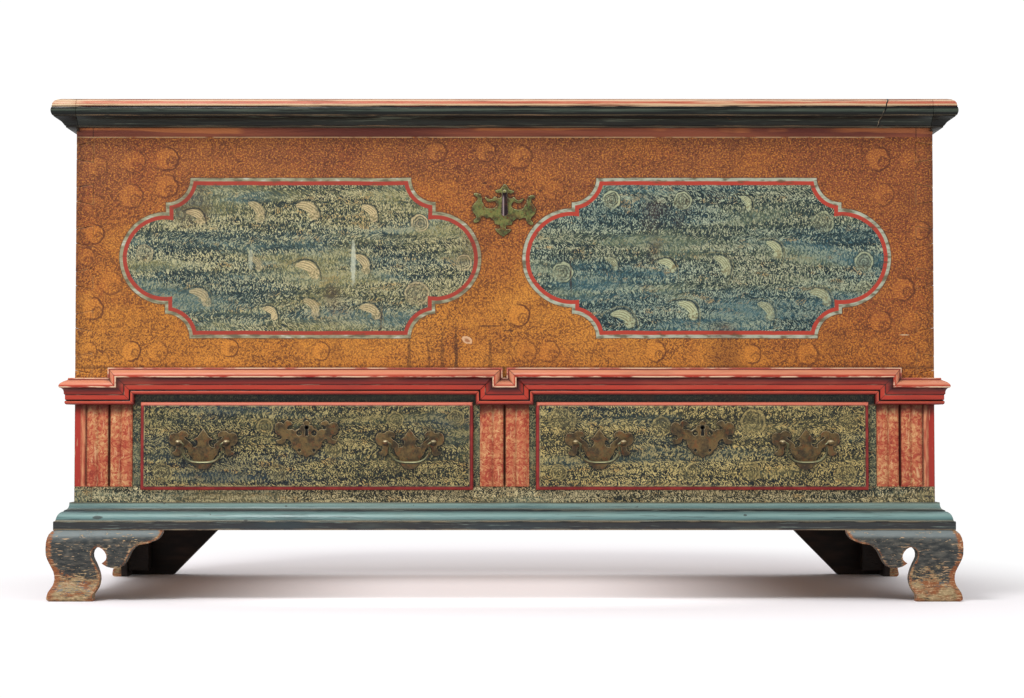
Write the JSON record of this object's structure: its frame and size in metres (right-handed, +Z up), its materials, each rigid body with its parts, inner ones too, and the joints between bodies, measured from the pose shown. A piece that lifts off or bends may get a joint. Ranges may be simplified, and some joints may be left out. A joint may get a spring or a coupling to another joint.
{
  "type": "mule chest",
  "caption": "Painted wooden mule chest: hinged lid over a deep chest, lipped drawers below with bail pulls, stepped waist moulding, reeded pilasters and ogee bracket feet.",
  "frame": {"origin": "on the floor, at the middle of the chest's box in X and Y", "axes": "+X to the right of someone who faces the chest, the front faces -Y, +Z up"},
  "size_m": [1.308, 0.5838, 0.722],
  "materials": {
    "ochre_paint": "old sponged paint, satin",
    "olive_paint": "old sponged paint, satin",
    "red_paint": "old paint, satin, worn at the edges",
    "blue_paint": "old paint, satin, worn at the edges",
    "dark_paint": "old paint, worn through to the wood at the edges",
    "green_black_paint": "old paint, satin, worn at the edges",
    "bare_wood": "unpainted aged softwood",
    "aged_brass": "dull, aged, brown",
    "green_brass": "dull, green patina",
    "iron": "dark wrought iron"
  },
  "bodies": {
    "case": {"front_board": "ochre_paint", "left_end": "ochre_paint", "right_end": "ochre_paint", "back_board": "bare_wood", "chest_floor": "bare_wood", "bottom_board": "bare_wood", "bottom_rail": "olive_paint", "left_pilaster": "red_paint", "waist_moulding_left": "red_paint", "centre_pilaster": "red_paint", "waist_moulding_centre": "red_paint", "right_pilaster": "red_paint", "waist_moulding_right": "red_paint", "base_moulding_front": "blue_paint", "base_moulding_left": "blue_paint", "base_moulding_right": "blue_paint", "waist_return_left": "red_paint", "front_foot_left_face": "dark_paint", "front_foot_left_side": "dark_paint", "rear_foot_left_side": "dark_paint", "rear_foot_left_back": "dark_paint", "hinge_leaf_left": "iron", "waist_return_right": "red_paint", "front_foot_right_face": "dark_paint", "front_foot_right_side": "dark_paint", "rear_foot_right_side": "dark_paint", "rear_foot_right_back": "dark_paint", "hinge_leaf_right": "iron", "chest_lock": "iron", "chest_escutcheon": "green_brass"},
    "lid": {"hinge_strap_left": "iron", "lid_batten_left": "green_black_paint", "hinge_strap_right": "iron", "lid_batten_right": "green_black_paint", "lid_board": "green_black_paint", "lid_front_moulding": "green_black_paint", "lock_keeper": "iron"},
    "keyhole_cover": {"keyhole_cover": "iron"},
    "drawer_left": {"drawer_left_front": "olive_paint", "drawer_left_side_left": "bare_wood", "drawer_left_side_right": "bare_wood", "drawer_left_back": "bare_wood", "drawer_left_bottom": "bare_wood", "drawer_left_lock": "iron", "drawer_left_escutcheon": "aged_brass", "drawer_left_pull_left_plate": "aged_brass", "drawer_left_pull_right_plate": "aged_brass"},
    "drawer_left_bail_left": {"drawer_left_pull_left_bail": "aged_brass"},
    "drawer_left_bail_right": {"drawer_left_pull_right_bail": "aged_brass"},
    "drawer_right": {"drawer_right_front": "olive_paint", "drawer_right_side_left": "bare_wood", "drawer_right_side_right": "bare_wood", "drawer_right_back": "bare_wood", "drawer_right_bottom": "bare_wood", "drawer_right_lock": "iron", "drawer_right_escutcheon": "aged_brass", "drawer_right_pull_left_plate": "aged_brass", "drawer_right_pull_right_plate": "aged_brass"},
    "drawer_right_bail_left": {"drawer_right_pull_left_bail": "aged_brass"},
    "drawer_right_bail_right": {"drawer_right_pull_right_bail": "aged_brass"}
  },
  "joints": [
    {"name": "lid_hinge", "type": "hinge", "parent": "case", "child": "lid", "pos_m": [0, 0.2859, 0.7023], "axis": [-1, 0, 0], "range_deg": [0, 95]},
    {"name": "keyhole_cover_pivot", "type": "hinge", "parent": "case", "child": "keyhole_cover", "pos_m": [0, -0.2607, 0.58881], "axis": [0, 1, 0], "range_deg": [-100, 100]},
    {"name": "drawer_left_slide", "type": "slide", "parent": "case", "child": "drawer_left", "axis": [0, -1, 0], "range_m": [0, 0.38]},
    {"name": "drawer_left_bail_left_pivot", "type": "hinge", "parent": "drawer_left", "child": "drawer_left_bail_left", "pos_m": [-0.4332, -0.2812, 0.2257], "axis": [-1, 0, 0], "range_deg": [-10, 88]},
    {"name": "drawer_left_bail_right_pivot", "type": "hinge", "parent": "drawer_left", "child": "drawer_left_bail_right", "pos_m": [-0.1362, -0.2812, 0.2257], "axis": [-1, 0, 0], "range_deg": [-10, 88]},
    {"name": "drawer_right_slide", "type": "slide", "parent": "case", "child": "drawer_right", "axis": [0, -1, 0], "range_m": [0, 0.38]},
    {"name": "drawer_right_bail_left_pivot", "type": "hinge", "parent": "drawer_right", "child": "drawer_right_bail_left", "pos_m": [0.1362, -0.2812, 0.2257], "axis": [-1, 0, 0], "range_deg": [-10, 88]},
    {"name": "drawer_right_bail_right_pivot", "type": "hinge", "parent": "drawer_right", "child": "drawer_right_bail_right", "pos_m": [0.4332, -0.2812, 0.2257], "axis": [-1, 0, 0], "range_deg": [-10, 88]}
  ]
}
